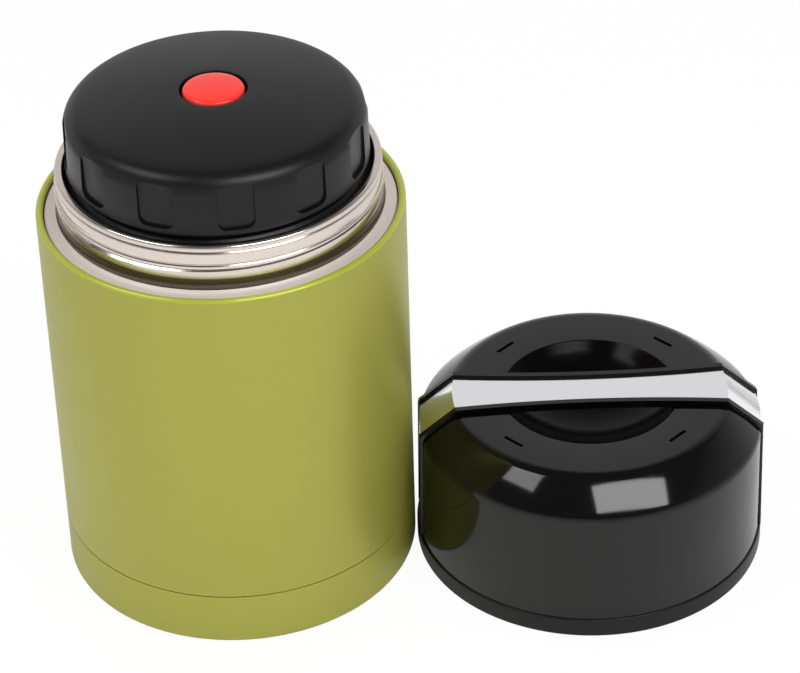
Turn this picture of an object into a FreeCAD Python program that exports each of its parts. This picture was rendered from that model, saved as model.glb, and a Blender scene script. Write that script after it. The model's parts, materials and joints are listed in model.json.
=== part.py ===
import FreeCAD, Part
import math
import os
import Sketcher

# Insulated food jar. Z is up, the origin is the centre of the jar's base on the table,
# and the drinking cup that closes it stands beside it along +X.
doc = FreeCAD.newDocument("FoodJar")

# Driving dimensions, in millimetres and degrees
sizes = {
    # painted casing and base
    "jar_radius": 60.0,
    "casing_top": 137.9,
    "seam_height": 19.6,
    "seam_gap": 0.35,
    "sheet_wall": 0.8,
    "lip_width": 2.4,
    "lip_drop": 2.2,
    "lip_round": 1.1,
    "base_floor": 1.0,
    "base_round": 2.5,
    "spigot_height": 6.0,
    "groove_width": 8.0,
    "foot_width": 14.0,
    "groove_depth": 0.5,
    "press_gap": 0.05,
    # vacuum vessel
    "vessel_gap": 0.3,
    "vessel_base": 6.0,
    "shoulder_drop": 2.3,
    "neck_set": 7.2,
    "neck_wall": 0.9,
    "neck_fillet": 3.2,
    "bead_pitch": 1.8,
    "bead_drop": 6.8,
    "bead_half": 0.45,
    "bead_deep": 0.5,
    "undercut": 0.6,
    "undercut_height": 1.0,
    "rim_thick": 1.7,
    "neck_height": 15.2,
    "rim_round": 1.1,
    "rim_width": 2.5,
    "ledge_width": 2.8,
    "well_floor": 14.0,
    "well_round": 9.0,
    "mouth_depth": 19.1,
    "foil_thick": 0.2,
    "foil_rise": 16.0,
    "foil_drop": 6.0,
    "pad_inset": 12.3,
    "getter_radius": 5.0,
    "getter_thick": 1.6,
    "getter_offset": 20.0,
    # stopper
    "cap_inset": 1.3,
    "cap_draft": 0.5,
    "cap_gap": 1.3,
    "cap_side": 20.0,
    "cap_dome": 3.7,
    "cap_round": 3.8,
    "cap_wall": 2.8,
    "moulded_wall": 2.2,
    "foot_round": 0.6,
    "button_well": 10.1,
    "button_hole": 10.9,
    "grip_count": 12.0,
    "grip_half": 6.0,
    "grip_rise": 2.0,
    "grip_over": 1.9,
    "grip_corner": 3.0,
    "grip_depth": 1.3,
    "cap_turn": 10.3,
    "plug_gap": 0.7,
    "plug_drop": 3.0,
    "foot_gap": 1.3,
    "plug_shoulder_drop": 3.3,
    "throat_depth": 2.4,
    "plug_top_drop": 7.4,
    "post_drop": 10.0,
    "foam_drop": 2.0,
    "foam_gap": 0.2,
    "face_gap": 0.1,
    "spin_gap": 0.05,
    "gasket_width": 4.7,
    "gasket_gap": 0.4,
    "gasket_thick": 2.8,
    "gasket_nick": 0.7,
    # steam vent
    "guide_radius": 4.2,
    "stem_radius": 2.5,
    "stem_head": 4.0,
    "stem_head_thick": 1.3,
    "seal_radius": 7.0,
    "seal_thick": 1.8,
    "button_radius": 10.0,
    "button_lift": 0.6,
    "button_socket": 2.6,
    "button_drop": 0.6,
    "button_dome": 1.9,
    "button_round": 0.8,
    "spring_radius": 4.4,
    "spring_wire": 0.4,
    "spring_turns": 4.5,
    "spring_gap": 0.4,
    # drinking cup
    "stand_gap": 0.7,
    "cup_turn": 1.7,
    "cup_inset": 0.6,
    "collar_height": 7.0,
    "collar_wall": 4.0,
    "collar_round": 0.8,
    "collar_step": 0.5,
    "shell_draft": 0.7,
    "bend_drop": 10.4,
    "shell_wall": 2.2,
    "shell_round": 3.0,
    "shoulder_width": 12.4,
    "ring_height": 58.0,
    "ring_round": 1.6,
    "ring_width": 17.0,
    "bowl_depth": 12.5,
    "bowl_round": 1.5,
    "bowl_wall_out": 1.6,
    "liner_wall": 1.8,
    "liner_gap": 0.2,
    "liner_base": 0.8,
    "liner_flange": 1.3,
    "liner_roof": 1.2,
    "liner_round": 5.0,
    "slot_inset": 8.5,
    "slot_half": 2.6,
    "slot_width": 0.7,
    "slot_depth": 1.0,
    "slot_angle": 45.0,
    # handle band
    "bar_rise": 1.7,
    "reach_over": 0.4,
    "bar_thick": 2.8,
    "bar_proud": 0.1,
    "bar_draft": 0.7,
    "bend_rise": 1.5,
    "side_thick": 1.8,
    "bend_thick": 0.8,
    "band_end": 11.35,
    "band_waist": 8.8,
    "rail_width": 2.0,
    "trim_drop": 1.0,
    "trim_bend": 0.45,
    "trim_reach": 0.4,
    "trim_thick": 0.5,
    "trim_thick_bend": 0.22,
    "trim_thick_reach": 0.2,
    "channel_gap": 0.25,
    "band_clear": 0.1,
    "over_cut": 3.0,
}

# Sizes that follow from the driving ones, so that a change of one carries its neighbours
derived = {
    # jar, across
    "vessel_radius": "jar_radius - lip_width - vessel_gap",
    "neck_radius": "jar_radius - neck_set",
    "mouth_radius": "neck_radius - rim_width",
    "well_radius": "mouth_radius - ledge_width",
    "groove_outer": "jar_radius - foot_width",
    "groove_inner": "groove_outer - groove_width",
    "pad_radius": "vessel_radius - pad_inset",
    # jar, upward
    "shoulder_height": "casing_top - shoulder_drop",
    "rim_top": "casing_top + neck_height",
    "rim_under": "rim_top - rim_thick",
    "undercut_z": "rim_under - undercut_height",
    "bead_high": "rim_top - bead_drop",
    "bead_low": "bead_high - bead_pitch",
    "ledge_height": "rim_top - mouth_depth",
    "foil_low": "well_floor + foil_rise",
    "foil_high": "ledge_height - foil_drop",
    # stopper, across
    "cap_radius": "mouth_radius - cap_inset",
    "grip_floor": "cap_radius - grip_depth",
    "plug_radius": "mouth_radius - plug_gap",
    "plug_throat": "plug_radius - throat_depth",
    "plug_foot": "well_radius - foot_gap",
    "gasket_radius": "mouth_radius - gasket_gap",
    "gasket_bore": "gasket_radius - gasket_width",
    # stopper, upward
    "cap_bottom": "rim_top + cap_gap",
    "cap_edge": "cap_bottom + cap_side",
    "cap_crown": "cap_edge + cap_dome",
    "grip_low": "cap_bottom + grip_rise",
    "grip_high": "cap_crown + grip_over",
    "plug_base": "ledge_height - plug_drop",
    "plug_shoulder": "rim_top - plug_shoulder_drop",
    "plug_top": "cap_edge - plug_top_drop",
    "foam_top": "plug_top - foam_drop",
    "well_bottom": "cap_crown - button_well",
    "post_top": "well_bottom - post_drop",
    "button_base": "well_bottom + button_lift",
    "button_seat": "button_base + button_socket",
    "button_edge": "cap_crown - button_drop",
    "button_crown": "button_edge + button_dome",
    # cup, across
    "collar_radius": "jar_radius - cup_inset",
    "collar_bore": "collar_radius - collar_wall",
    "shell_radius": "collar_radius - collar_step",
    "liner_radius": "collar_bore - liner_gap",
    "liner_bore": "liner_radius - liner_wall",
    "ring_radius": "shell_radius - shoulder_width",
    "bowl_radius": "ring_radius - ring_width",
    "slot_radius": "ring_radius - slot_inset",
    # cup, upward
    "shell_bend": "ring_height - bend_drop",
    "bowl_floor": "ring_height - bowl_depth",
    "liner_top": "bowl_floor - shell_wall - liner_gap",
    "liner_ceiling": "liner_top - liner_roof",
    # handle band
    "bar_side": "collar_radius + bar_proud",
    "bar_reach": "ring_radius + reach_over",
    "bar_top": "ring_height + bar_rise",
    "bar_bend": "shell_bend + bend_rise",
    "channel_half": "band_end + channel_gap",
    "band_stock": "bar_side + over_cut + over_cut",
}



def value(text):
    """The number that a sum of sizes such as "jar_radius - sheet_wall" stands for."""
    total = 0.0
    sign = 1.0
    for word in text.split():
        if word == "+":
            sign = 1.0
        elif word == "-":
            sign = -1.0
        elif word in derived:
            total += sign * value(derived[word])
        else:
            total += sign * (sizes[word] if word in sizes else float(word))
    return total


def bound(text):
    """The same sum as an expression on the sheets' cells."""
    cells = []
    for word in text.split():
        if word in sizes:
            word = "Sizes." + word
        elif word in derived:
            word = "Derived." + word
        cells.append(word)
    return " ".join(cells)


sheet = doc.addObject("Spreadsheet::Sheet", "Sizes")
for row, (name, number) in enumerate(sizes.items(), start=1):
    sheet.set("A%d" % row, name)
    sheet.set("B%d" % row, str(number))
    sheet.setAlias("B%d" % row, name)
doc.recompute()
followers = doc.addObject("Spreadsheet::Sheet", "Derived")
for row, (name, text) in enumerate(derived.items(), start=1):
    followers.set("A%d" % row, name)
    followers.set("B%d" % row, "=" + bound(text).replace("Derived.", ""))
    followers.setAlias("B%d" % row, name)
doc.recompute()


def origin_feature(body, role):
    return next(part for part in body.Origin.OriginFeatures if part.Role == role)


def new_sketch(body, name, role, lift=None):
    sketch = body.newObject("Sketcher::SketchObject", name)
    sketch.AttachmentSupport = [(origin_feature(body, role), "")]
    sketch.MapMode = "FlatFace"
    if lift:
        sketch.AttachmentOffset.Base.z = value(lift)
        sketch.setExpression("AttachmentOffset.Base.z", bound(lift))
    return sketch


def pin_point(sketch, edge, end, x, y):
    """Hold one point of a sketch at two sums of sizes."""
    for axis, kind, text in ((-2, "DistanceX", x), (-1, "DistanceY", y)):
        if text == "0":
            sketch.addConstraint(Sketcher.Constraint("PointOnObject", edge, end, axis))
        else:
            held = Sketcher.Constraint(kind, -1, 1, edge, end, value(text))
            index = sketch.addConstraint(held)
            sketch.setExpression("Constraints[%d]" % index, bound(text))


def arc_between(first, second, centre):
    """The short arc round a centre, and which of its ends each point is."""
    turn_first = math.atan2(first.y - centre.y, first.x - centre.x)
    turn_second = math.atan2(second.y - centre.y, second.x - centre.x)
    circle = Part.Circle(centre, FreeCAD.Vector(0, 0, 1), (first - centre).Length)
    if turn_first < turn_second:
        return Part.ArcOfCircle(circle, turn_first, turn_second), (1, 2)
    return Part.ArcOfCircle(circle, turn_second, turn_first), (2, 1)


def crown_centre(first, second):
    """Centre, on the sketch's upright axis, of an arc through two points."""
    height = (first.y**2 + first.x**2 - second.y**2 - second.x**2) / (2 * (first.y - second.y))
    return FreeCAD.Vector(0, height, 0)


def outline(sketch, corners, crowned=(), rounded=None):
    """Closed outline through corners. An edge listed in crowned is an arc centred on the
    upright axis, and one in rounded is an arc whose centre is given."""
    rounded = rounded or {}
    spots = [FreeCAD.Vector(value(x), value(y), 0) for x, y in corners]
    ends = []
    for index, first in enumerate(spots):
        second = spots[(index + 1) % len(spots)]
        if index in crowned:
            curve, order = arc_between(first, second, crown_centre(first, second))
        elif index in rounded:
            centre = FreeCAD.Vector(value(rounded[index][0]), value(rounded[index][1]), 0)
            curve, order = arc_between(first, second, centre)
        else:
            curve, order = Part.LineSegment(first, second), (1, 2)
        ends.append((sketch.addGeometry(curve), order))
    for index, (edge, order) in enumerate(ends):
        after, after_order = ends[(index + 1) % len(ends)]
        joint = Sketcher.Constraint("Coincident", edge, order[1], after, after_order[0])
        sketch.addConstraint(joint)
        if index in crowned:
            sketch.addConstraint(Sketcher.Constraint("PointOnObject", edge, 3, -2))
        if index in rounded:
            x = rounded[index][0]
            held = Sketcher.Constraint("DistanceX", -1, 1, edge, 3, value(x))
            number = sketch.addConstraint(held)
            sketch.setExpression("Constraints[%d]" % number, bound(x))
    for (edge, order), (x, y) in zip(ends, corners):
        pin_point(sketch, edge, order[0], x, y)


def turned_body(label, corners, crowned=()):
    """A body turned about the Z axis from an outline in the XZ plane."""
    body = doc.addObject("PartDesign::Body", label)
    sketch = new_sketch(body, label + "_profile", "XZ_Plane")
    outline(sketch, corners, crowned)
    turned = body.newObject("PartDesign::Revolution", label + "_turned")
    turned.Profile = sketch
    turned.ReferenceAxis = (sketch, ["V_Axis"])
    turned.Angle = 360
    doc.recompute()
    return body


def round_edges(body, radius, spots):
    """Fillet the circular edges that lie at the given radius and height."""
    base = body.Tip
    names = []
    for number, edge in enumerate(base.Shape.Edges, start=1):
        if edge.Degenerated or not isinstance(edge.Curve, Part.Circle):
            continue
        for x, y in spots:
            near_radius = abs(edge.Curve.Radius - value(x)) < 0.001
            near_height = abs(edge.Curve.Center.z - value(y)) < 0.001
            if near_radius and near_height:
                names.append("Edge%d" % number)
    fillet = body.newObject("PartDesign::Fillet", body.Name + "_round")
    fillet.Base = (base, names)
    fillet.setExpression("Radius", bound(radius))
    doc.recompute()
    return fillet


def plain_cylinder(label, radius, height, x, z):
    cylinder = doc.addObject("Part::Cylinder", label)
    cylinder.setExpression("Radius", bound(radius))
    cylinder.setExpression("Height", bound(height))
    cylinder.setExpression("Placement.Base.x", bound(x))
    cylinder.setExpression("Placement.Base.z", bound(z))
    return cylinder


def removed_volume(body, before):
    """A pocket has to take material away."""
    if body.Shape.Volume >= before - 0.01:
        raise RuntimeError(body.Label + ": the cut took nothing away")


# Painted casing: a sheet sleeve whose top edge is rolled inward to a round lip
casing = turned_body("outer_casing", [
    ("jar_radius", "seam_height + seam_gap"),
    ("jar_radius", "casing_top"),
    ("jar_radius - lip_width", "casing_top"),
    ("jar_radius - lip_width", "casing_top - lip_drop"),
    ("jar_radius - sheet_wall", "casing_top - lip_drop - lip_width + sheet_wall"),
    ("jar_radius - sheet_wall", "seam_height + seam_gap"),
])
round_edges(casing, "lip_round", [
    ("jar_radius", "casing_top"),
    ("jar_radius - lip_width", "casing_top"),
])

# Base cup: closes the casing from below, its spigot held inside the sleeve
base_cup = turned_body("base_cup", [
    ("0", "0"),
    ("groove_inner", "0"),
    ("groove_inner", "groove_depth"),
    ("groove_outer", "groove_depth"),
    ("groove_outer", "0"),
    ("jar_radius", "0"),
    ("jar_radius", "seam_height"),
    ("jar_radius - sheet_wall - press_gap", "seam_height"),
    ("jar_radius - sheet_wall - press_gap", "seam_height + spigot_height"),
    ("jar_radius - sheet_wall - sheet_wall", "seam_height + spigot_height"),
    ("jar_radius - sheet_wall - sheet_wall", "base_floor"),
    ("0", "base_floor"),
])
round_edges(base_cup, "base_round", [("jar_radius", "0")])

# Outer wall of the vacuum vessel: side, shoulder and polished neck with two rolled beads
vessel_wall = turned_body("vessel_outer_wall", [
    ("vessel_radius", "vessel_base"),
    ("vessel_radius", "shoulder_height"),
    ("neck_radius", "shoulder_height"),
    ("neck_radius", "bead_low - bead_half"),
    ("neck_radius - bead_deep", "bead_low"),
    ("neck_radius", "bead_low + bead_half"),
    ("neck_radius", "bead_high - bead_half"),
    ("neck_radius - bead_deep", "bead_high"),
    ("neck_radius", "bead_high + bead_half"),
    ("neck_radius", "undercut_z"),
    ("neck_radius - undercut", "undercut_z + undercut"),
    ("neck_radius - undercut", "rim_under"),
    ("neck_radius - neck_wall", "rim_under"),
    ("neck_radius - neck_wall", "shoulder_height - sheet_wall"),
    ("vessel_radius - sheet_wall", "shoulder_height - sheet_wall"),
    ("vessel_radius - sheet_wall", "vessel_base"),
])
round_edges(vessel_wall, "neck_fillet", [("neck_radius", "shoulder_height")])

# Inner vessel: the food well, the ledge for the gasket, and the rolled rim over the neck
inner_vessel = turned_body("inner_vessel", [
    ("0", "well_floor"),
    ("well_radius", "well_floor"),
    ("well_radius", "ledge_height"),
    ("mouth_radius", "ledge_height"),
    ("mouth_radius", "rim_top"),
    ("neck_radius - face_gap", "rim_top"),
    ("neck_radius - face_gap", "rim_under"),
    ("mouth_radius + sheet_wall", "rim_under"),
    ("mouth_radius + sheet_wall", "ledge_height - sheet_wall"),
    ("well_radius + sheet_wall", "ledge_height - sheet_wall"),
    ("well_radius + sheet_wall", "well_floor - sheet_wall"),
    ("0", "well_floor - sheet_wall"),
])
round_edges(inner_vessel, "rim_round", [
    ("mouth_radius", "rim_top"),
    ("neck_radius - face_gap", "rim_top"),
])
round_edges(inner_vessel, "well_round", [("well_radius", "well_floor")])
round_edges(inner_vessel, "well_round + sheet_wall", [
    ("well_radius + sheet_wall", "well_floor - sheet_wall"),
])

# Inside the vacuum space: the foil round the well, the bottom plate, the getter, and the
# foam pad under the vessel
turned_body("heat_foil", [
    ("well_radius + sheet_wall", "foil_low"),
    ("well_radius + sheet_wall + foil_thick", "foil_low"),
    ("well_radius + sheet_wall + foil_thick", "foil_high"),
    ("well_radius + sheet_wall", "foil_high"),
])
plain_cylinder("vessel_bottom", "vessel_radius - sheet_wall", "sheet_wall", "0", "vessel_base")
plain_cylinder("getter", "getter_radius", "getter_thick", "getter_offset", "vessel_base + sheet_wall")
plain_cylinder("base_pad", "pad_radius", "vessel_base - base_floor", "0", "base_floor")

# Stopper cap: a crowned moulding with a well for the button and finger grips round its side
cap = turned_body("stopper_cap", [
    ("cap_radius", "cap_bottom"),
    ("cap_radius - cap_draft", "cap_edge"),
    ("button_hole", "cap_crown"),
    ("button_hole", "well_bottom"),
    ("button_hole + moulded_wall", "well_bottom"),
    ("button_hole + moulded_wall", "cap_crown - moulded_wall"),
    ("cap_radius - cap_wall", "cap_edge - moulded_wall"),
    ("cap_radius - cap_wall", "cap_bottom"),
], crowned=(1, 5))
round_edges(cap, "cap_round", [("cap_radius - cap_draft", "cap_edge")])
round_edges(cap, "foot_round", [("cap_radius", "cap_bottom")])
whole_cap = cap.Shape.Volume
grip_sketch = new_sketch(cap, "grip_outline", "XZ_Plane", "grip_floor")
outline(grip_sketch, [
    ("grip_half", "grip_high"),
    ("0 - grip_half", "grip_high"),
    ("0 - grip_half", "grip_low + grip_corner"),
    ("0 - grip_half + grip_corner", "grip_low"),
    ("grip_half - grip_corner", "grip_low"),
    ("grip_half", "grip_low + grip_corner"),
], rounded={
    2: ("0 - grip_half + grip_corner", "grip_low + grip_corner"),
    4: ("grip_half - grip_corner", "grip_low + grip_corner"),
})
grip = cap.newObject("PartDesign::Pocket", "grip_recess")
grip.Profile = grip_sketch
grip.Reversed = True
grip.setExpression("Length", bound("cap_wall"))
doc.recompute()
removed_volume(cap, whole_cap)
grips = cap.newObject("PartDesign::PolarPattern", "grip_ring")
grips.Originals = [grip]
grips.Axis = (origin_feature(cap, "Z_Axis"), [""])
grips.Angle = 360
grips.setExpression("Occurrences", bound("grip_count"))
cap.Tip = grips
doc.recompute()
cap.Placement = FreeCAD.Placement(
    FreeCAD.Vector(), FreeCAD.Rotation(FreeCAD.Vector(0, 0, 1), value("cap_turn"))
)

# Stopper plug: screws into the mouth, holds the gasket on a spigot and the vent in a post
turned_body("stopper_plug", [
    ("guide_radius", "plug_base"),
    ("plug_foot", "plug_base"),
    ("plug_foot", "ledge_height - face_gap"),
    ("gasket_bore - spin_gap", "ledge_height - face_gap"),
    ("gasket_bore - spin_gap", "ledge_height + gasket_thick + face_gap"),
    ("plug_radius", "ledge_height + gasket_thick + face_gap"),
    ("plug_radius", "plug_shoulder"),
    ("plug_throat", "plug_shoulder + plug_radius - plug_throat"),
    ("plug_throat", "cap_bottom"),
    ("cap_radius - cap_wall - press_gap", "cap_bottom"),
    ("cap_radius - cap_wall - press_gap", "plug_top"),
    ("cap_radius - cap_wall - moulded_wall", "plug_top"),
    ("cap_radius - cap_wall - moulded_wall", "plug_base + moulded_wall"),
    ("guide_radius + moulded_wall", "plug_base + moulded_wall"),
    ("guide_radius + moulded_wall", "post_top"),
    ("guide_radius", "post_top"),
])

# Foam ring that fills the plug, and the bush that guides the vent's stem
turned_body("stopper_insulation", [
    ("guide_radius + moulded_wall + foam_gap", "plug_base + moulded_wall"),
    ("cap_radius - cap_wall - moulded_wall - foam_gap", "plug_base + moulded_wall"),
    ("cap_radius - cap_wall - moulded_wall - foam_gap", "foam_top"),
    ("guide_radius + moulded_wall + foam_gap", "foam_top"),
])
turned_body("valve_guide", [
    ("stem_radius + spin_gap", "plug_base"),
    ("guide_radius", "plug_base"),
    ("guide_radius", "post_top"),
    ("stem_radius + spin_gap", "post_top"),
])

# Gasket: a silicone ring with two sealing lips, lying on the ledge inside the mouth
turned_body("stopper_gasket", [
    ("gasket_bore", "ledge_height"),
    ("gasket_radius", "ledge_height"),
    ("gasket_radius - gasket_nick", "ledge_height + gasket_nick + gasket_nick"),
    ("gasket_radius", "ledge_height + gasket_thick"),
    ("gasket_bore", "ledge_height + gasket_thick"),
])

# Steam vent: domed button, stem with a head, seal under the plug, and return spring
button = turned_body("vent_button", [
    ("0", "button_seat"),
    ("stem_radius", "button_seat"),
    ("stem_radius", "button_base"),
    ("button_radius", "button_base"),
    ("button_radius", "button_edge"),
    ("0", "button_crown"),
], crowned=(4,))
round_edges(button, "button_round", [("button_radius", "button_edge")])
turned_body("vent_stem", [
    ("0", "plug_base - seal_thick - stem_head_thick"),
    ("stem_head", "plug_base - seal_thick - stem_head_thick"),
    ("stem_head", "plug_base - seal_thick"),
    ("stem_radius", "plug_base - seal_thick"),
    ("stem_radius", "button_seat"),
    ("0", "button_seat"),
])
turned_body("vent_seal", [
    ("stem_radius", "plug_base - seal_thick"),
    ("seal_radius", "plug_base - seal_thick"),
    ("seal_radius", "plug_base"),
    ("stem_radius", "plug_base"),
])


def coil_spring():
    """One unbroken wire between the post and the underside of the button."""
    low = value("post_top + spring_wire + spring_gap")
    high = value("button_base - spring_wire - spring_gap")
    path = Part.makeHelix((high - low) / value("spring_turns"), high - low, value("spring_radius"))
    start = FreeCAD.Vector(value("spring_radius"), 0, 0)
    section = Part.Wire(Part.makeCircle(value("spring_wire"), start, FreeCAD.Vector(0, 1, 0)))
    wire = Part.Wire(path.Edges).makePipeShell([section], True, True)
    spring = doc.addObject("Part::Feature", "vent_spring")
    spring.Shape = wire
    spring.Placement = FreeCAD.Placement(FreeCAD.Vector(0, 0, low), FreeCAD.Rotation())


coil_spring()

# Drinking cup: collar that meets the table, inner liner, and outer shell with a finger bowl
collar = turned_body("cup_collar", [
    ("collar_bore", "0"),
    ("collar_radius", "0"),
    ("collar_radius", "collar_height"),
    ("collar_bore", "collar_height"),
])
round_edges(collar, "collar_round", [("collar_radius", "0"), ("collar_radius", "collar_height")])
liner = turned_body("cup_liner", [
    ("liner_bore", "liner_base"),
    ("liner_radius", "liner_base"),
    ("liner_radius", "collar_height"),
    ("liner_radius + liner_flange", "collar_height"),
    ("liner_radius + liner_flange", "collar_height + liner_flange"),
    ("liner_radius", "collar_height + liner_flange"),
    ("liner_radius", "liner_top"),
    ("0", "liner_top"),
    ("0", "liner_ceiling"),
    ("liner_bore", "liner_ceiling"),
])
round_edges(liner, "liner_round", [("liner_bore", "liner_ceiling")])
round_edges(liner, "liner_round", [("liner_radius", "liner_top")])

shell = turned_body("shell_moulding", [
    ("shell_radius", "collar_height"),
    ("shell_radius - shell_draft", "shell_bend"),
    ("ring_radius", "ring_height"),
    ("bowl_radius", "ring_height"),
    ("0", "bowl_floor"),
    ("0", "bowl_floor - shell_wall"),
    ("bowl_radius + bowl_wall_out", "ring_height - shell_wall"),
    ("ring_radius - shell_wall + band_clear", "ring_height - shell_wall"),
    ("shell_radius - shell_draft - shell_wall", "shell_bend - shell_wall + band_clear"),
    ("shell_radius - shell_wall", "collar_height"),
], crowned=(3, 5))
round_edges(shell, "shell_round", [("shell_radius - shell_draft", "shell_bend")])
round_edges(shell, "ring_round", [("ring_radius", "ring_height")])
round_edges(shell, "bowl_round", [("bowl_radius", "ring_height")])
whole_shell = shell.Shape.Volume
slot_sketch = new_sketch(shell, "slot_outline", "XY_Plane", "ring_height")
outline(slot_sketch, [
    ("slot_radius", "0 - slot_half"),
    ("slot_radius + slot_width", "0 - slot_half"),
    ("slot_radius + slot_width", "slot_half"),
    ("slot_radius", "slot_half"),
])
slot_sketch.AttachmentOffset = FreeCAD.Placement(
    FreeCAD.Vector(0, 0, value("ring_height")),
    FreeCAD.Rotation(FreeCAD.Vector(0, 0, 1), value("slot_angle")),
)
slot = shell.newObject("PartDesign::Pocket", "ring_slot")
slot.Profile = slot_sketch
slot.setExpression("Length", bound("slot_depth"))
doc.recompute()
removed_volume(shell, whole_shell)
slots = shell.newObject("PartDesign::PolarPattern", "slot_ring")
slots.Originals = [slot]
slots.Axis = (origin_feature(shell, "Z_Axis"), [""])
slots.Angle = 360
slots.Occurrences = 4
shell.Tip = slots
doc.recompute()


def opposite(text):
    """The sum with its sign turned round."""
    return "0 - " + text.replace("-", "+")


def strap_plan(label, end_half, waist_half):
    """Waisted strip seen from above, as a tall block."""
    body = doc.addObject("PartDesign::Body", label)
    sketch = new_sketch(body, label + "_outline", "XY_Plane")
    outline(sketch, [
        ("0", waist_half),
        ("bar_reach", end_half),
        ("band_stock", end_half),
        ("band_stock", opposite(end_half)),
        ("bar_reach", opposite(end_half)),
        ("0", opposite(waist_half)),
    ], crowned=(0, 4))
    pad = body.newObject("PartDesign::Pad", label + "_stock")
    pad.Profile = sketch
    pad.setExpression("Length", bound("band_stock"))
    doc.recompute()
    mirror = body.newObject("PartDesign::Mirrored", label + "_both")
    mirror.Originals = [pad]
    mirror.MirrorPlane = (origin_feature(body, "YZ_Plane"), [""])
    body.Tip = mirror
    doc.recompute()
    return body


def strap_layer(label, over, under):
    """One layer of the strap's path over the cup, turned about Z. Each of its two faces is
    given as the radius of the side, the height of the bend, the reach and height of the top."""
    side, bend, reach, top = over
    side_in, bend_in, reach_in, top_in = under
    return turned_body(label, [
        (side, "collar_height + band_clear"),
        (side + " - bar_draft", bend),
        (reach, top),
        ("0", top),
        ("0", top_in),
        (reach_in, top_in),
        (side_in + " - bar_draft", bend_in),
        (side_in, "collar_height + band_clear"),
    ])


def common(label, first, second):
    shared = doc.addObject("Part::Common", label)
    shared.Base = first
    shared.Tool = second
    return shared


def cut(label, base, tool):
    result = doc.addObject("Part::Cut", label)
    result.Base = base
    result.Tool = tool
    return result


# Faces of the strap, from the outermost in
clear_face = (
    "bar_side + over_cut", "bar_bend + over_cut", "bar_reach + over_cut", "bar_top + over_cut",
)
rail_face = ("bar_side", "bar_bend", "bar_reach", "bar_top")
trim_face = (
    "bar_side - trim_drop", "bar_bend - trim_bend",
    "bar_reach - trim_reach", "bar_top - trim_drop",
)
trim_back = (
    "bar_side - trim_drop - trim_thick", "bar_bend - trim_bend - trim_thick_bend",
    "bar_reach - trim_reach - trim_thick_reach", "bar_top - trim_drop - trim_thick",
)
strap_back = (
    "bar_side - side_thick", "bar_bend - bend_thick", "bar_reach", "bar_top - bar_thick",
)
seat_face = (
    "bar_side - side_thick - band_clear", "bar_bend - bend_thick - band_clear",
    "bar_reach", "bar_top - bar_thick - band_clear",
)

# Handle band: a black frame with two rails, and the bright strip laid between them
frame_plan = strap_plan("frame_plan", "band_end", "band_waist")
trim_plan = strap_plan("trim_plan", "band_end - rail_width", "band_waist - rail_width")
frame_stock = common("frame_stock", strap_layer("frame_layer", rail_face, strap_back), frame_plan)
trim_bed = common("trim_bed", strap_layer("bed_layer", clear_face, trim_back), trim_plan)
handle_frame = cut("handle_frame", frame_stock, trim_bed)
handle_trim = common("handle_trim", strap_layer("trim_layer", trim_face, trim_back), trim_plan)

# Seat of the band in the shell: straight-sided, so the waisted band leaves a dark wedge
seat_plan = doc.addObject("Part::Box", "seat_plan")
seat_plan.setExpression("Length", bound("band_stock + band_stock"))
seat_plan.setExpression("Width", bound("channel_half + channel_half"))
seat_plan.setExpression("Height", bound("band_stock"))
seat_plan.setExpression("Placement.Base.x", bound("0 - band_stock"))
seat_plan.setExpression("Placement.Base.y", bound("0 - channel_half"))
band_seat = common("band_seat", strap_layer("seat_layer", clear_face, seat_face), seat_plan)
cup_shell = cut("cup_shell", shell, band_seat)
doc.recompute()

# The cup stands beside the jar
cup_place = "jar_radius + stand_gap + collar_radius"
for piece in (collar, liner, cup_shell, handle_frame, handle_trim):
    piece.Placement = FreeCAD.Placement(
        FreeCAD.Vector(value(cup_place), 0, 0),
        FreeCAD.Rotation(FreeCAD.Vector(0, 0, 1), value("cup_turn")),
    )
    piece.setExpression("Placement.Base.x", bound(cup_place))
doc.recompute()

sub_parts = [
    "outer_casing", "base_cup", "vessel_outer_wall", "inner_vessel", "heat_foil",
    "vessel_bottom", "getter", "base_pad",
    "stopper_cap", "stopper_plug", "stopper_insulation", "valve_guide", "stopper_gasket",
    "vent_button", "vent_stem", "vent_seal", "vent_spring",
    "cup_collar", "cup_liner", "cup_shell", "handle_frame", "handle_trim",
]

for item in doc.Objects:
    if "Invalid" in item.State or "Error" in item.State:
        raise RuntimeError(item.Name + " failed: " + str(item.State))
finished = {name: doc.getObject(name).Shape for name in sub_parts}
for name, shape in finished.items():
    if shape.isNull() or not shape.isValid() or len(shape.Solids) != 1:
        raise RuntimeError(name + " is not one valid solid")

os.makedirs("parts", exist_ok=True)
for name, shape in finished.items():
    shape.exportStep("parts/" + name + ".step")
    box = shape.BoundBox
    print("%-20s %9.1f mm3  z %6.1f to %6.1f" % (name, shape.Volume, box.ZMin, box.ZMax))
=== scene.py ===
import bmesh
import bpy
import json
import math
from mathutils import Matrix, Vector


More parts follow.
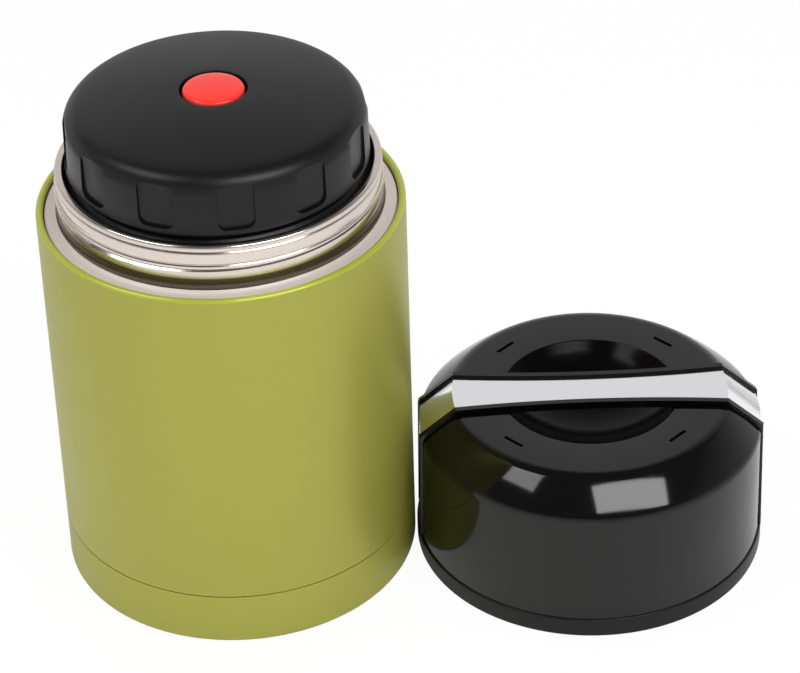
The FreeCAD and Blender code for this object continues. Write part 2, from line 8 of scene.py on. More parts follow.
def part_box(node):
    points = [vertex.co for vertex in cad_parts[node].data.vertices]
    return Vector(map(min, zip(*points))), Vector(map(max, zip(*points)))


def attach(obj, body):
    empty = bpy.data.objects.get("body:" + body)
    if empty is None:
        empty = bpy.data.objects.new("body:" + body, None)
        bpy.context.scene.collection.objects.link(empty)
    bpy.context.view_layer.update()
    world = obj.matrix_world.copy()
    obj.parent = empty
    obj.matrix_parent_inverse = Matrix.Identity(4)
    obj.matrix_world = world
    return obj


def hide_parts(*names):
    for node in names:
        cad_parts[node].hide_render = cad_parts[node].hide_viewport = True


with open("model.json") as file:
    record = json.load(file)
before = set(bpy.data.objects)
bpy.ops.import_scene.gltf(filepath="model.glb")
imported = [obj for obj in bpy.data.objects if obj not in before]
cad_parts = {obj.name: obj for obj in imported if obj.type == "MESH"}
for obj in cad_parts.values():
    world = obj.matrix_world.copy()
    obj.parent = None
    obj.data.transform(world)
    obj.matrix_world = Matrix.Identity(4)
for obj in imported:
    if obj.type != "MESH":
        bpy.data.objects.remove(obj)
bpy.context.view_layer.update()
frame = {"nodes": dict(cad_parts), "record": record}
mm = 0.001
cupLow, cupHigh = (Vector(corner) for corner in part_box("cup_collar"))
cupAxis = Vector(((cupLow.x + cupHigh.x) / 2, (cupLow.y + cupHigh.y) / 2, 0))
print("stage: frame loaded")


# camera: its place in millimetres, its turns in degrees and its lens, fitted to the photograph
cameraView = {"place": (78.2, -863.5, 686.0), "heading": -1.431, "down": 34.98, "roll": -1.80,
              "lens": 142.15, "sensor": 36, "farthest": 20}


def placeCamera():
    heading, down, roll = (math.radians(cameraView[key]) for key in ("heading", "down", "roll"))
    level = Vector((math.cos(heading), -math.sin(heading), 0))
    ahead = Vector((math.sin(heading) * math.cos(down), math.cos(heading) * math.cos(down), -math.sin(down)))
    upright = level.cross(ahead)
    right = level * math.cos(roll) + upright * math.sin(roll)
    up = upright * math.cos(roll) - level * math.sin(roll)
    turn = Matrix((right, up, -ahead)).transposed().to_4x4()
    camera = bpy.data.objects.new("camera", bpy.data.cameras.new("camera"))
    camera.data.lens = cameraView["lens"]
    camera.data.sensor_width = cameraView["sensor"]
    camera.data.clip_end = cameraView["farthest"]
    camera.matrix_world = Matrix.Translation(Vector(cameraView["place"]) * mm) @ turn
    bpy.context.collection.objects.link(camera)
    bpy.context.scene.camera = camera


placeCamera()


# colours are written as sRGB and turned linear here
def paint(hexText):
    channels = [int(hexText[i:i + 2], 16) / 255 for i in (1, 3, 5)]
    return [c / 12.92 if c <= 0.04045 else ((c + 0.055) / 1.055) ** 2.4 for c in channels] + [1.0]


# a setting goes to the socket of that name or number, or else to the node itself
def addNode(tree, kind, settings=None, links=None):
    made = tree.nodes.new(kind)
    for key, setting in (settings or {}).items():
        if isinstance(key, int) or key in made.inputs:
            made.inputs[key].default_value = setting
        else:
            setattr(made, key, setting)
    for key, source in (links or {}).items():
        tree.links.new(source, made.inputs[key])
    return made


# every finish: two close colours broken by a fine pattern, roughness that wanders, and a bump;
# grain is the pattern's size in millimetres, drawn no finer than the 0.2 or so that shows
finishSizes = {"wander": 35, "relief": 0.1, "coatRoughness": 0.08}
turningLines = (0.15, 0.15, 6)  # stretches a pattern into lines that run round the axis


def finish(name, light, dark, grain, roughness, metallic=0.0, bump=0.02, coat=0.0, sheen=0.0,
           specular=0.5, spread=0.06, stretch=(1, 1, 1)):
    material = bpy.data.materials.new(name)
    material.use_nodes = True
    tree = material.node_tree
    shader = tree.nodes["Principled BSDF"]
    even = {"Metallic": metallic, "Coat Weight": coat, "Coat Roughness": finishSizes["coatRoughness"],
            "Specular IOR Level": specular, "Sheen Weight": sheen}
    if metallic < 0.5:
        even["IOR"] = 1.5  # usual for paint and these plastics; a metal keeps the default
    for socket, setting in even.items():
        shader.inputs[socket].default_value = setting
    where = addNode(tree, "ShaderNodeTexCoord")
    fitted = addNode(tree, "ShaderNodeMapping", {"Scale": stretch}, {"Vector": where.outputs["Object"]})
    fine = addNode(tree, "ShaderNodeTexNoise", {"Scale": 1 / (grain * mm), "Detail": 4.0},
                   {"Vector": fitted.outputs["Vector"]})
    broad = addNode(tree, "ShaderNodeTexNoise", {"Scale": 1 / (finishSizes["wander"] * mm), "Detail": 3.0},
                    {"Vector": where.outputs["Object"]})
    tone = addNode(tree, "ShaderNodeMix", {"data_type": "RGBA", 6: paint(dark), 7: paint(light)},
                   {"Factor": fine.outputs["Fac"]})  # 6 and 7 are its colours, output 2 their mix
    gloss = addNode(tree, "ShaderNodeMapRange", {"To Min": roughness - spread, "To Max": roughness + spread},
                    {"Value": broad.outputs["Fac"]})
    relief = addNode(tree, "ShaderNodeBump", {"Strength": bump, "Distance": finishSizes["relief"] * mm},
                     {"Height": fine.outputs["Fac"]})
    tree.links.new(tone.outputs[2], shader.inputs["Base Color"])
    tree.links.new(gloss.outputs["Result"], shader.inputs["Roughness"])
    tree.links.new(relief.outputs["Normal"], shader.inputs["Normal"])
    return material


# metallic stoving paint on steel: a soft broad sheen over fine flakes
greenPaint = finish("metallicStovingPaint", "#A2A14A", "#97963F", grain=0.25, roughness=0.40,
                    metallic=0.3, bump=0.03, specular=0.3)
# the same paint on the rolled lip, lighter in colour as a painted highlight for the light the lip catches, with a
# glossy skin
lipPaintedHighlight = finish("stovingPaintPaintedHighlight", "#B4BC3C", "#9FA82C", grain=0.25, roughness=0.3, metallic=0.3, coat=0.4)
# stainless steel, spun and polished: mirror bands with faint turning lines round the neck
polishedSteel = finish("polishedStainless", "#E0D5CE", "#C8BCB4", grain=0.35, roughness=0.16, metallic=1.0,
                       bump=0.04, stretch=turningLines, spread=0.03)
# stainless steel, bead-blasted: even warm grey without reflections
blastedSteel = finish("blastedStainless", "#DDD1CA", "#CCC0B9", grain=0.2, roughness=0.5, metallic=0.25, bump=0.10)
# the same steel at the root of the neck, with soft turning lines; its colour is darkened as painted shade for the
# dark the root reflects: a dark ring
neckRootPaintedShade = finish("stainlessPaintedShade", "#7A6E64", "#564B43", grain=0.35, roughness=0.24, metallic=0.95,
                     bump=0.08, stretch=turningLines, spread=0.04)
# stainless steel, deep-drawn: grey with lines along the wall
drawnSteel = finish("drawnStainless", "#B8B4B0", "#A09C98", grain=0.4, roughness=0.3, metallic=1.0,
                    bump=0.08, stretch=(1, 1, 0.1))
# polypropylene from a spark-eroded mould: satin black that greys under a broad light
satinPlastic = finish("satinPolypropylene", "#131112", "#0D0C0D", grain=0.18, roughness=0.35, bump=0.08,
                      specular=0.26)
# ABS from a polished mould: deep black with sharp reflections
glossPlastic = finish("polishedAbs", "#090808", "#070606", grain=0.6, roughness=0.075, bump=0.008, spread=0.02,
                      specular=0.36)
# the same ABS inside the finger bowl, whose mould is only blasted smooth: a softer reflection, made weaker as
# painted shade for the bowl lying in the handle band's shadow
bowlPaintedShade = finish("absBowlPaintedShade", "#090808", "#070606", grain=0.6, roughness=0.16, bump=0.01, spread=0.03,
                     specular=0.08)
# red ABS, moulded and polished: an even signal red with a soft highlight
redPlastic = finish("redPolishedAbs", "#EA382F", "#E4332A", grain=0.5, roughness=0.2, bump=0.01, specular=0.35)
# satin-chromed ABS strip: almost white, soft in reflection, drawn out along its length
satinChrome = finish("satinChromedStrip", "#F4F4F6", "#EFEFF1", grain=0.3, roughness=0.12, metallic=1.0,
                     bump=0.004, stretch=(0.2, 1, 1), spread=0.03)
# food silicone, moulded: milky with a dull skin
silicone = finish("mouldedSilicone", "#D9D7D0", "#CDCAC2", grain=0.3, roughness=0.5, bump=0.05, sheen=0.2)
# polyethylene foam, closed-cell: matt, with its cells as a strong bump
foam = finish("polyethyleneFoam", "#E6E3DA", "#D2CEC4", grain=1.2, roughness=0.85, bump=0.5)
# copper foil wrapped round the well: bright and crinkled
copperFoil = finish("copperFoil", "#C98A62", "#B87750", grain=2.0, roughness=0.25, metallic=1.0, bump=0.3)
# spring steel, drawn to wire: bright grey
springSteel = finish("springWire", "#A8A8AC", "#8E8E92", grain=0.3, roughness=0.25, metallic=1.0, bump=0.05)

slotFinish = {
    "green_paint": greenPaint, "polished_steel": polishedSteel, "drawn_steel": drawnSteel,
    "black_satin": satinPlastic, "black_gloss": glossPlastic, "red_button": redPlastic,
    "silver_trim": satinChrome, "silicone": silicone, "foam": foam, "spring_steel": springSteel,
    "copper_foil": copperFoil,
}
for part in frame["record"]["subparts"]:
    mesh = frame["nodes"][part["node"]].data
    mesh.materials.clear()
    mesh.materials.append(slotFinish[part["material_slot"]])
print("stage: materials made")


# modelling, in millimetres and degrees: points between two ends, on an arc centred on the axis
def arcRun(first, last, steps):
    (r0, z0), (r1, z1) = first, last
    middle = (z0 * z0 + r0 * r0 - z1 * z1 - r1 * r1) / (2 * (z0 - z1))
    size = math.hypot(r0, z0 - middle)
    side = 1 if z0 > middle else -1
    radii = [r0 + (r1 - r0) * i / steps for i in range(1, steps)]
    return [(r, middle + side * math.sqrt(size * size - r * r), 0) for r in radii]


# points between two ends, on a curve that swells outwards by rise at its middle
def bulgeRun(first, last, rise, steps):
    (r0, z0), (r1, z1) = first, last
    chord = math.hypot(r1 - r0, z1 - z0)
    run = []
    for i in range(1, steps):
        along = i / steps
        push = 4 * rise * along * (1 - along) / chord
        run.append((r0 + (r1 - r0) * along + (z1 - z0) * push, z0 + (z1 - z0) * along + (r0 - r1) * push, 0))
    return run


# an outline of (radius, height, corner) spun round the axis; it is open where its ends lie on the axis
def spinOutline(outline, steps, closed=True):
    bm = bmesh.new()
    points = [bm.verts.new((r * mm, 0, z * mm)) for r, z, _ in outline]
    for i in range(len(points) if closed else len(points) - 1):
        bm.edges.new((points[i], points[(i + 1) % len(points)]))
    for point, (_, _, corner) in zip(points, outline):
        if corner:
            bmesh.ops.bevel(bm, geom=[point], offset=corner * mm, segments=7, profile=0.5,
                            affect="VERTICES", material=-1, clamp_overlap=False)
    bmesh.ops.spin(bm, geom=bm.verts[:] + bm.edges[:], cent=(0, 0, 0), axis=(0, 0, 1),
                   angle=2 * math.pi, steps=steps, use_merge=True, use_duplicate=False)
    bmesh.ops.remove_doubles(bm, verts=bm.verts[:], dist=0.002 * mm)
    bmesh.ops.recalc_face_normals(bm, faces=bm.faces[:])
    return bm


def shadeMesh(mesh, sharp):
    mesh.shade_smooth()
    mesh.set_sharp_from_angle(angle=math.radians(sharp))


def keepMesh(bm, name, material, sharp=32):
    mesh = bpy.data.meshes.new(name)
    bm.to_mesh(mesh)
    bm.free()
    mesh.materials.append(material)
    shadeMesh(mesh, sharp)
    piece = bpy.data.objects.new(name, mesh)
    bpy.context.collection.objects.link(piece)
    return piece


def combine(piece, tool, operation, sharp):
    step = piece.modifiers.new("shape", "BOOLEAN")
    step.operation = operation
    step.solver = "EXACT"
    step.object = tool
    depsgraph = bpy.context.evaluated_depsgraph_get()
    depsgraph.update()
    mesh = bpy.data.meshes.new_from_object(piece.evaluated_get(depsgraph))
    piece.modifiers.clear()
    piece.data = mesh
    shadeMesh(mesh, sharp)
    bpy.data.objects.remove(tool)


# casing: painted sleeve whose top is rolled inwards to a lip
jar = {"radius": 60.0, "seam": 19.6, "steps": 256}  # shared by the jar's pieces
sleeve = {"gap": 0.35, "top": 137.9, "wall": 0.8, "lip": 2.4, "lipDrop": 2.2, "lipSlope": 1.6,
          "lipOuter": 1.15, "lipInner": 1.1, "seamEdge": 0.15, "highlightBand": 0.9}
casing = keepMesh(spinOutline([
    (jar["radius"], jar["seam"] + sleeve["gap"], sleeve["seamEdge"]),
    (jar["radius"], sleeve["top"], sleeve["lipOuter"]),
    (jar["radius"] - sleeve["lip"], sleeve["top"], sleeve["lipInner"]),
    (jar["radius"] - sleeve["lip"], sleeve["top"] - sleeve["lipDrop"], 0),
    (jar["radius"] - sleeve["wall"], sleeve["top"] - sleeve["lipDrop"] - sleeve["lipSlope"], 0),
    (jar["radius"] - sleeve["wall"], jar["seam"] + sleeve["gap"], 0),
], jar["steps"]), "casing_sleeve", greenPaint)
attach(casing, "jar")
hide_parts("outer_casing")
# the top band of the lip takes the lighter copy of the paint: a painted highlight
casing.data.materials.append(lipPaintedHighlight)
for face in casing.data.polygons:
    if face.center.z > (sleeve["top"] - sleeve["highlightBand"]) * mm:
        face.material_index = 1

# base: painted cup with a shallow groove underneath and a ring that goes up inside the casing
baseCup = {"heel": 2.5, "seamEdge": 0.15, "wall": 1.6, "floor": 1.0, "ringInset": 0.85, "ringRise": 6,
           "grooveIn": 38.0, "grooveOut": 46.0, "grooveSlope": 0.6, "grooveDepth": 0.5, "grooveEdge": 0.3}
base = keepMesh(spinOutline([
    (0, 0, 0),
    (baseCup["grooveIn"], 0, baseCup["grooveEdge"]),
    (baseCup["grooveIn"] + baseCup["grooveSlope"], baseCup["grooveDepth"], baseCup["grooveEdge"]),
    (baseCup["grooveOut"] - baseCup["grooveSlope"], baseCup["grooveDepth"], baseCup["grooveEdge"]),
    (baseCup["grooveOut"], 0, baseCup["grooveEdge"]),
    (jar["radius"], 0, baseCup["heel"]),
    (jar["radius"], jar["seam"], baseCup["seamEdge"]),
    (jar["radius"] - baseCup["ringInset"], jar["seam"], 0),
    (jar["radius"] - baseCup["ringInset"], jar["seam"] + baseCup["ringRise"], 0),
    (jar["radius"] - baseCup["wall"], jar["seam"] + baseCup["ringRise"], 0),
    (jar["radius"] - baseCup["wall"], baseCup["floor"], 0),
    (0, baseCup["floor"], 0),
], jar["steps"], closed=False), "painted_base", greenPaint)
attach(base, "jar")
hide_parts("base_cup")

# neck: blasted shoulder, turned root darkened with painted shade, then polished steel with two grooves and an
# undercut below the rim
neck = {"side": 57.3, "bottom": 6.0, "shoulder": 136.6, "shoulderEdge": 0.8, "radius": 52.8, "rootCurve": 3.0,
        "blasted": 1.3, "polished": 141.4, "grooves": (144.5, 146.3), "grooveSize": 0.5,
        "undercut": 150.4, "undercutSize": 0.6, "top": 151.4, "bore": 51.9,
        "innerShoulder": 135.8, "innerSide": 56.5}
neckOutline = [
    (neck["side"], neck["bottom"], 0),
    (neck["side"], neck["shoulder"], neck["shoulderEdge"]),
    (neck["radius"], neck["shoulder"], neck["rootCurve"]),
    (neck["radius"], neck["polished"], 0),
]
for groove in neck["grooves"]:
    neckOutline += [
        (neck["radius"], groove - neck["grooveSize"], 0.12),
        (neck["radius"] - neck["grooveSize"], groove, 0.25),
        (neck["radius"], groove + neck["grooveSize"], 0.12),
    ]
neckOutline += [
    (neck["radius"], neck["undercut"], 0.3),
    (neck["radius"] - neck["undercutSize"], neck["undercut"] + neck["undercutSize"], 0.2),
    (neck["radius"] - neck["undercutSize"], neck["top"], 0),
    (neck["bore"], neck["top"], 0),
    (neck["bore"], neck["innerShoulder"], 0),
    (neck["innerSide"], neck["innerShoulder"], 0),
    (neck["innerSide"], neck["bottom"], 0),
]
neckPiece = keepMesh(spinOutline(neckOutline, jar["steps"]), "steel_neck", polishedSteel)

# thread: one ridge round the neck that sinks into it at both ends
thread = {"low": 142.8, "rise": 5.4, "sweep": 430, "start": 165, "steps": 300, "root": 52.4, "crest": 53.3,
          "rootHalf": 0.9, "crestHalf": 0.25, "fade": 0.14, "sink": 0.95}


def threadRidge():
    bm = bmesh.new()
    start = Matrix.Rotation(math.radians(thread["start"]), 4, "Z")
    profile = ((thread["root"], -thread["rootHalf"]), (thread["crest"], -thread["crestHalf"]),
               (thread["crest"], thread["crestHalf"]), (thread["root"], thread["rootHalf"]))
    corners = [bm.verts.new(start @ (Vector((r, 0, thread["low"] + z)) * mm)) for r, z in profile]
    bmesh.ops.contextual_create(bm, geom=corners)
    bmesh.ops.spin(bm, geom=bm.verts[:] + bm.edges[:] + bm.faces[:], cent=(0, 0, 0), axis=(0, 0, 1),
                   dvec=(0, 0, thread["rise"] / thread["steps"] * mm), angle=math.radians(thread["sweep"]),
                   steps=thread["steps"], use_merge=False, use_duplicate=False)
    for vert in bm.verts:
        done = (vert.co.z / mm - thread["low"]) / thread["rise"]
        end = min(max(done, 0.0), max(1 - done, 0.0))
        if math.hypot(vert.co.x, vert.co.y) > neck["radius"] * mm:
            keep = 1 - thread["sink"] * mm / vert.co.xy.length * max(0.0, 1 - end / thread["fade"])
            vert.co.x, vert.co.y = vert.co.x * keep, vert.co.y * keep
    bmesh.ops.recalc_face_normals(bm, faces=bm.faces[:])
    return keepMesh(bm, "thread_ridge", polishedSteel)


combine(neckPiece, threadRidge(), "UNION", 30)
# the root between the shoulder and the polished band takes the steel copy with painted shade
for extra in (blastedSteel, neckRootPaintedShade):
    neckPiece.data.materials.append(extra)
for face in neckPiece.data.polygons:
    if face.center.z < (neck["shoulder"] + neck["blasted"]) * mm:
        face.material_index = 1
    elif face.center.z < (neck["polished"] - 0.05) * mm:  # just below the outline's point at this height
        face.material_index = 2
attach(neckPiece, "jar")
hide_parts("vessel_outer_wall")

# well: round-heeled vessel with a ledge for the gasket and a rolled rim over the neck
vessel = {"radius": 47.5, "floor": 14.0, "heel": 9.0, "wall": 0.8, "ledge": 134.0, "mouth": 50.3,
          "rimLow": 150.0, "rimSlope": 0.6, "rimBore": 50.0, "rimTop": 153.1, "rimRadius": 52.7, "rimUnder": 151.4}
well = keepMesh(spinOutline([
    (0, vessel["floor"], 0),
    (vessel["radius"], vessel["floor"], vessel["heel"]),
    (vessel["radius"], vessel["ledge"], 0.3),
    (vessel["mouth"], vessel["ledge"], 0.3),
    (vessel["mouth"], vessel["rimLow"], 0.2),
    (vessel["rimBore"], vessel["rimLow"] + vessel["rimSlope"], 0.2),
    (vessel["rimBore"], vessel["rimTop"], 0.5),
    (vessel["rimRadius"], vessel["rimTop"], 1.1),
    (vessel["rimRadius"], vessel["rimUnder"], 0),
    (vessel["mouth"] + vessel["wall"], vessel["rimUnder"], 0),
    (vessel["mouth"] + vessel["wall"], vessel["ledge"] - vessel["wall"], 0),
    (vessel["radius"] + vessel["wall"], vessel["ledge"] - vessel["wall"], 0),
    (vessel["radius"] + vessel["wall"], vessel["floor"] - vessel["wall"], vessel["heel"] + vessel["wall"]),
    (0, vessel["floor"] - vessel["wall"], 0),
], jar["steps"], closed=False), "steel_well", polishedSteel)
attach(well, "jar")
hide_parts("inner_vessel")
print("stage: jar made")

# stopper cap: crowned top with a rounded edge and a hole for the button
cap = {"radius": 49.0, "draft": 0.5, "low": 154.4, "lowEdge": 0.6, "edge": 173.9, "edgeRound": 5.4,
       "crown": 178.8, "hole": 10.9, "holeEdge": 0.35, "holeLow": 168.0, "holeWall": 13.1,
       "inside": 46.2, "insideEdge": 172.2, "insideCrown": 175.8, "steps": 288}
capOutline = [(cap["radius"], cap["low"], cap["lowEdge"]),
              (cap["radius"] - cap["draft"], cap["edge"], cap["edgeRound"])]
# the crown leaves out its first point, which the rounded edge takes up
capOutline += arcRun((cap["radius"] - cap["draft"], cap["edge"]), (cap["hole"], cap["crown"]), 9)[1:]
capOutline += [
    (cap["hole"], cap["crown"], cap["holeEdge"]),
    (cap["hole"], cap["holeLow"], 0),
    (cap["holeWall"], cap["holeLow"], 0),
    (cap["holeWall"], cap["insideCrown"], 0),
    (cap["inside"], cap["insideEdge"], 0),
    (cap["inside"], cap["low"], 0),
]
capPiece = keepMesh(spinOutline(capOutline, cap["steps"]), "stopper_cover", satinPlastic)

# finger grips: flat hollows round the cap, rounded at their lower ends
grips = {"count": 12, "half": 6.0, "low": 156.4, "floor": 47.7, "turn": 10.3, "deep": 5, "tall": 24.0,
         "rounding": 3.0}


def gripCutters():
    bm = bmesh.new()
    bottom = -grips["tall"] / 2 * mm
    for i in range(grips["count"]):
        angle = math.radians(i * 360 / grips["count"] - 90 + grips["turn"])
        made = bmesh.ops.create_cube(bm, size=1.0)["verts"]
        bmesh.ops.scale(bm, vec=(grips["deep"] * mm, 2 * grips["half"] * mm, grips["tall"] * mm), verts=made)
        low = [e for e in bm.edges if e.verts[0] in made and e.verts[1] in made
               and abs(e.verts[0].co.z - bottom) < 1e-6 and abs(e.verts[1].co.z - bottom) < 1e-6
               and abs(e.verts[0].co.x - e.verts[1].co.x) > 1e-4]
        grown = bmesh.ops.bevel(bm, geom=low, offset=grips["rounding"] * mm, segments=6, profile=0.5,
                                affect="EDGES", material=-1)
        made = list({v for v in made if v.is_valid} | set(grown["verts"]))
        place = Matrix.Rotation(angle, 4, "Z") @ Matrix.Translation(
            ((grips["floor"] + grips["deep"] / 2) * mm, 0, (grips["low"] + grips["tall"] / 2) * mm))
        bmesh.ops.transform(bm, verts=made, matrix=place)
    bmesh.ops.recalc_face_normals(bm, faces=bm.faces[:])
    return keepMesh(bm, "grip_cutter", satinPlastic)


combine(capPiece, gripCutters(), "DIFFERENCE", 25)
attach(capPiece, "stopper")
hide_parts("stopper_cap")

# red button: low dome on a straight side, hollow underneath where the stem goes in
button = {"radius": 10.0, "base": 168.6, "baseEdge": 0.3, "edge": 179.0, "edgeRound": 1.1, "crown": 180.1,
          "seat": 171.2, "stem": 2.5, "steps": 128}
buttonOutline = [
    (0, button["seat"], 0),
    (button["stem"], button["seat"], 0),
    (button["stem"], button["base"], 0),
    (button["radius"], button["base"], button["baseEdge"]),
    (button["radius"], button["edge"], button["edgeRound"]),
]
buttonOutline += arcRun((button["radius"], button["edge"]), (0, button["crown"]), 8)[1:]
buttonOutline += [(0, button["crown"], 0)]
buttonPiece = keepMesh(spinOutline(buttonOutline, button["steps"], closed=False), "red_button", redPlastic)
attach(buttonPiece, "vent")
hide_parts("vent_button")
print("stage: stopper made")

# cup collar: black ring at the cup's open end, which it stands on
cup = {"turn": 1.7, "collarTop": 7.0, "ringTop": 58.0, "steps": 288}  # shared by the cup's pieces
cuff = {"radius": 59.4, "inside": 55.4, "insideEdge": 0.2, "footEdge": 0.8, "topEdge": 0.7}
collar = keepMesh(spinOutline([
    (cuff["inside"], 0, cuff["insideEdge"]),
    (cuff["radius"], 0, cuff["footEdge"]),
    (cuff["radius"], cup["collarTop"], cuff["topEdge"]),
    (cuff["inside"], cup["collarTop"], 0),
], cup["steps"]), "cup_foot", satinPlastic)
collar.data.transform(Matrix.Translation(cupAxis))
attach(collar, "cup")
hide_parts("cup_collar")

# cup shell: drafted side, swelling shoulder, flat ring and finger bowl
cover = {"side": 58.9, "draft": 0.7, "sideEdge": 0.35, "bend": 47.6, "bendRound": 1.3, "swell": 0.4,
         "ring": 46.5, "ringRound": 1.9, "bowl": 29.5, "bowlLip": 0.4, "lipEdge": 0.25, "bowlFloor": 45.5,
         "underFloor": 43.3, "underBowl": 31.1, "underRing": 55.8, "underRingOut": 44.4,
         "underBend": (56.0, 45.5), "underSide": 56.7}
shellOutline = [(cover["side"], cup["collarTop"], cover["sideEdge"]),
                (cover["side"] - cover["draft"], cover["bend"], cover["bendRound"])]
shellOutline += bulgeRun((cover["side"] - cover["draft"], cover["bend"]), (cover["ring"], cup["ringTop"]),
                         cover["swell"], 6)
shellOutline += [(cover["ring"], cup["ringTop"], cover["ringRound"]),
                 (cover["bowl"] + cover["bowlLip"], cup["ringTop"], cover["lipEdge"])]
shellOutline += arcRun((cover["bowl"], cup["ringTop"] - cover["bowlLip"]), (0, cover["bowlFloor"]), 14)
shellOutline += [(0, cover["bowlFloor"], 0), (0, cover["underFloor"], 0)]
shellOutline += arcRun((0, cover["underFloor"]), (cover["underBowl"], cover["underRing"]), 10)
shellOutline += [
    (cover["underBowl"], cover["underRing"], 0),
    (cover["underRingOut"], cover["underRing"], 0),
    (*cover["underBend"], 0),
    (cover["underSide"], cup["collarTop"], 0),
]
shell = keepMesh(spinOutline(shellOutline, cup["steps"]), "cup_cover", glossPlastic, sharp=20)

# seat of the handle band: a slice of a spun ring that reaches past the shell
seat = {"half": 11.6, "steps": 144, "outside": ((62.5, 6.9), (61.8, 52.1), (49.9, 62.7), (0, 62.7)),
        "floor": ((0, 56.8), (46.9, 56.8), (56.9, 48.2), (57.6, 6.9))}


def seatCutter():
    bm = spinOutline([(r, z, 0) for r, z in seat["outside"] + seat["floor"]], seat["steps"])
    for side in (1, -1):
        sliced = bmesh.ops.bisect_plane(bm, geom=bm.verts[:] + bm.edges[:] + bm.faces[:],
                                        plane_co=(0, side * seat["half"] * mm, 0), plane_no=(0, side, 0),
                                        clear_outer=True)
        edges = [e for e in sliced["geom_cut"] if isinstance(e, bmesh.types.BMEdge)]
        bmesh.ops.triangle_fill(bm, use_beauty=True, edges=edges)
    bmesh.ops.recalc_face_normals(bm, faces=bm.faces[:])
    return keepMesh(bm, "seat_cutter", glossPlastic)


# slots: four short cuts that follow the flat ring
slots = {"count": 4, "first": 45, "middle": 38.35, "wide": 1.3, "long": 8.0, "deep": 2.0}


def slotCutters():
    bm = bmesh.new()
    for i in range(slots["count"]):
        angle = math.radians(slots["first"] + i * 360 / slots["count"])
        made = bmesh.ops.create_cube(bm, size=1.0)["verts"]
        bmesh.ops.scale(bm, vec=(slots["wide"] * mm, slots["long"] * mm, slots["deep"] * mm), verts=made)
        place = Matrix.Rotation(angle, 4, "Z") @ Matrix.Translation((slots["middle"] * mm, 0, cup["ringTop"] * mm))
        bmesh.ops.transform(bm, verts=made, matrix=place)
    return keepMesh(bm, "slot_cutter", glossPlastic)


combine(shell, seatCutter(), "DIFFERENCE", 20)
combine(shell, slotCutters(), "DIFFERENCE", 20)
# the bowl's faces take the ABS copy with painted shade
shell.data.materials.append(bowlPaintedShade)
for face in shell.data.polygons:
    inBowl = math.hypot(face.center.x, face.center.y) < (cover["bowl"] + 0.1) * mm
    if inBowl and face.center.z < (cup["ringTop"] - 0.3) * mm:
        face.material_index = 1
shell.data.transform(Matrix.Translation(cupAxis) @ Matrix.Rotation(math.radians(cup["turn"]), 4, "Z"))
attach(shell, "cup")
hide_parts("cup_shell")
print("stage: cup made")


# studio lights, in metres, watts and degrees: soft fills that leave no reflection, and two windows that do
def softLight(name, place, target, size, power, roll=0.0, mirrored=True):
    lamp = bpy.data.lights.new(name, "AREA")
    lamp.shape = "RECTANGLE"
    lamp.size, lamp.size_y = size
    lamp.energy = power
    holder = bpy.data.objects.new(name, lamp)
    aim = (Vector(target) - Vector(place)).to_track_quat("-Z", "Y").to_matrix().to_4x4()
    holder.matrix_world = Matrix.Translation(place) @ aim @ Matrix.Rotation(math.radians(roll), 4, "Z")
    holder.visible_glossy = mirrored
    bpy.context.collection.objects.link(holder)


softLight("frontFill", (0.3, -1.5, 0.45), (0.05, 0, 0.07), size=(0.9, 0.7), power=2.8, mirrored=False)
softLight("topFill", (0.05, 0.1, 1.3), (0.05, 0, 0.07), size=(0.7, 0.5), power=4, mirrored=False)
softLight("leftSoftbox", (-1.1, -0.7, 0.75), (0, 0, 0.08), size=(0.5, 0.8), power=2, mirrored=False)
softLight("rightWindow", (0.523, -0.603, 1.045), (0.13, -0.05, 0.05), size=(0.80, 0.32), power=7.5, roll=-20)
softLight("leftWindow", (-0.594, -0.197, 1.039), (0.09, -0.04, 0.05), size=(0.62, 0.28), power=3.0, roll=29)

# floor and air: both white to the camera, and the floor keeps a faint shadow; to the object the air
# is white near the floor, dim overhead (by Z) and bright again behind (by Y), so metal shows contrast
studio = {"white": "#FFFFFF", "floorSize": 6.0, "floorDrop": 0.05, "cameraWhite": 0.95,
          "overhead": {"From Min": 0.05, "From Max": 0.65, "To Min": 1.0, "To Max": 0.12},
          "behind": {"From Min": 0.35, "From Max": 0.72, "To Min": 0.0, "To Max": 0.76}}


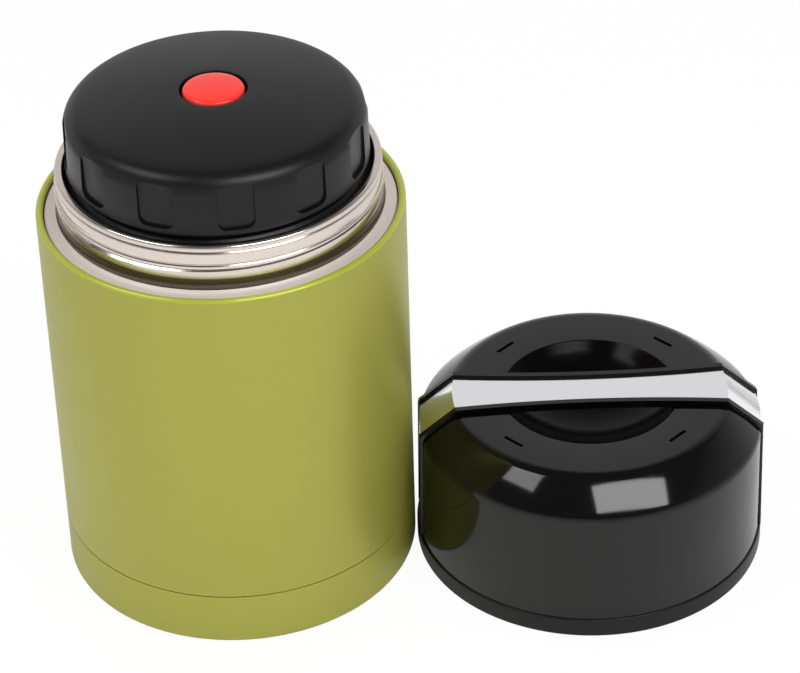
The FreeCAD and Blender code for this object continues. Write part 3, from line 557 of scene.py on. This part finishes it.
def studioFloor():
    bm = bmesh.new()
    bmesh.ops.create_grid(bm, x_segments=1, y_segments=1, size=studio["floorSize"])
    bmesh.ops.translate(bm, vec=(0, 0, -studio["floorDrop"] * mm), verts=bm.verts[:])
    material = bpy.data.materials.new("matteStudioFloor")
    material.use_nodes = True
    tree = material.node_tree
    tree.nodes.remove(tree.nodes["Principled BSDF"])
    path = addNode(tree, "ShaderNodeLightPath")
    matte = addNode(tree, "ShaderNodeBsdfDiffuse", {"Color": paint(studio["white"])})
    glow = addNode(tree, "ShaderNodeEmission", {"Color": paint(studio["white"]), "Strength": 1.0})
    seen = addNode(tree, "ShaderNodeMath", {"operation": "MULTIPLY", 1: studio["cameraWhite"]},
                   {0: path.outputs["Is Camera Ray"]})
    both = addNode(tree, "ShaderNodeMixShader", None, {0: seen.outputs[0], 1: matte.outputs[0], 2: glow.outputs[0]})
    tree.links.new(both.outputs[0], tree.nodes["Material Output"].inputs["Surface"])
    floor = keepMesh(bm, "studio_floor", material)


def studioAir():
    world = bpy.data.worlds.new("studioAir")
    bpy.context.scene.world = world
    world.use_nodes = True
    tree = world.node_tree
    path = addNode(tree, "ShaderNodeLightPath")
    where = addNode(tree, "ShaderNodeTexCoord")
    split = addNode(tree, "ShaderNodeSeparateXYZ", None, {0: where.outputs["Generated"]})
    overhead = addNode(tree, "ShaderNodeMapRange", studio["overhead"], {"Value": split.outputs["Z"]})
    behind = addNode(tree, "ShaderNodeMapRange", studio["behind"], {"Value": split.outputs["Y"]})
    soft = addNode(tree, "ShaderNodeMath", {"operation": "MAXIMUM"},
                   {0: overhead.outputs["Result"], 1: behind.outputs["Result"]})
    level = addNode(tree, "ShaderNodeMix", {"data_type": "FLOAT", 3: 1.0},
                    {0: path.outputs["Is Camera Ray"], 2: soft.outputs[0]})
    back = tree.nodes["Background"]
    tree.links.new(level.outputs[0], back.inputs["Strength"])
    back.inputs["Color"].default_value = paint(studio["white"])


studioFloor()
studioAir()
bpy.context.scene.view_settings.view_transform = "Standard"
print("stage: studio lit")
